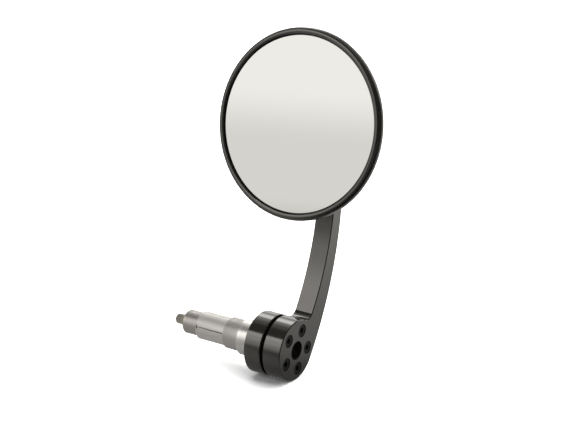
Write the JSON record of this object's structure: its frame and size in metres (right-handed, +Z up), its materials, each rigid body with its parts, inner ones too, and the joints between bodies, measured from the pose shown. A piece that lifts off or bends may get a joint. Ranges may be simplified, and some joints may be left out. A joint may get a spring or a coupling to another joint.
{
  "type": "motorcycle bar end mirror",
  "caption": "Round bar end mirror on a curved black arm, with clamp discs and an expanding plug that fixes in the open end of a handlebar.",
  "frame": {"origin": "on the plug's axis, in the plane where the collar stops against the bar's end", "axes": "+X outboard along the plug, +Z up, and the glass faces the rider at -Y"},
  "size_m": [0.1232, 0.0685, 0.1889],
  "materials": {
    "black_anodised": "satin",
    "black_steel": "black oxide",
    "zinc_steel": "zinc plated",
    "bright_aluminium": "turned",
    "grey_aluminium": "satin",
    "nylon": "moulded",
    "foam": "soft",
    "mirror_glass": "polished",
    "rubber": "matt"
  },
  "bodies": {
    "plug": {"spindle": "zinc_steel", "collar": "bright_aluminium", "adapter_sleeve": "grey_aluminium", "collet": "bright_aluminium", "bolt_washer": "zinc_steel"},
    "arm": {"arm": "black_anodised", "clamp_ring": "black_anodised", "clamp_screws": "black_steel", "ball_stud": "black_steel", "stud_washer": "zinc_steel", "stud_nut": "black_steel"},
    "ball_seat": {"ball_seat": "nylon"},
    "mirror": {"mirror_shell": "black_anodised", "ball_cap": "black_anodised", "cap_screws": "black_steel", "glass_pad": "foam", "mirror_glass": "mirror_glass", "glass_seal": "rubber", "rim_ring": "black_anodised"},
    "expander_screw": {"expander_bolt": "zinc_steel"},
    "cone_nut": {"cone_nut": "bright_aluminium"}
  },
  "joints": [
    {"name": "arm_swing", "type": "hinge", "parent": "plug", "child": "arm", "pos_m": [0, 0, 0], "axis": [1, 0, 0], "continuous": true},
    {"name": "mirror_tilt", "type": "hinge", "parent": "arm", "child": "ball_seat", "pos_m": [0.0277, 0.02142, 0.12043], "axis": [1, 0, 0], "range_deg": [-15, 15]},
    {"name": "mirror_turn", "type": "hinge", "parent": "ball_seat", "child": "mirror", "pos_m": [0.0277, 0.02142, 0.12043], "axis": [0, 0.2588, 0.9659], "range_deg": [-13, 17]},
    {"name": "expander_turn", "type": "hinge", "parent": "plug", "child": "expander_screw", "pos_m": [0, 0, 0], "axis": [-1, 0, 0], "range_deg": [0, 720]},
    {"name": "cone_slide", "type": "slide", "parent": "plug", "child": "cone_nut", "axis": [1, 0, 0], "range_m": [0, 0.002]}
  ],
  "couplings": [
    {"joint": "cone_slide", "follows": "expander_turn", "m_per_rad": 0.00015915}
  ]
}
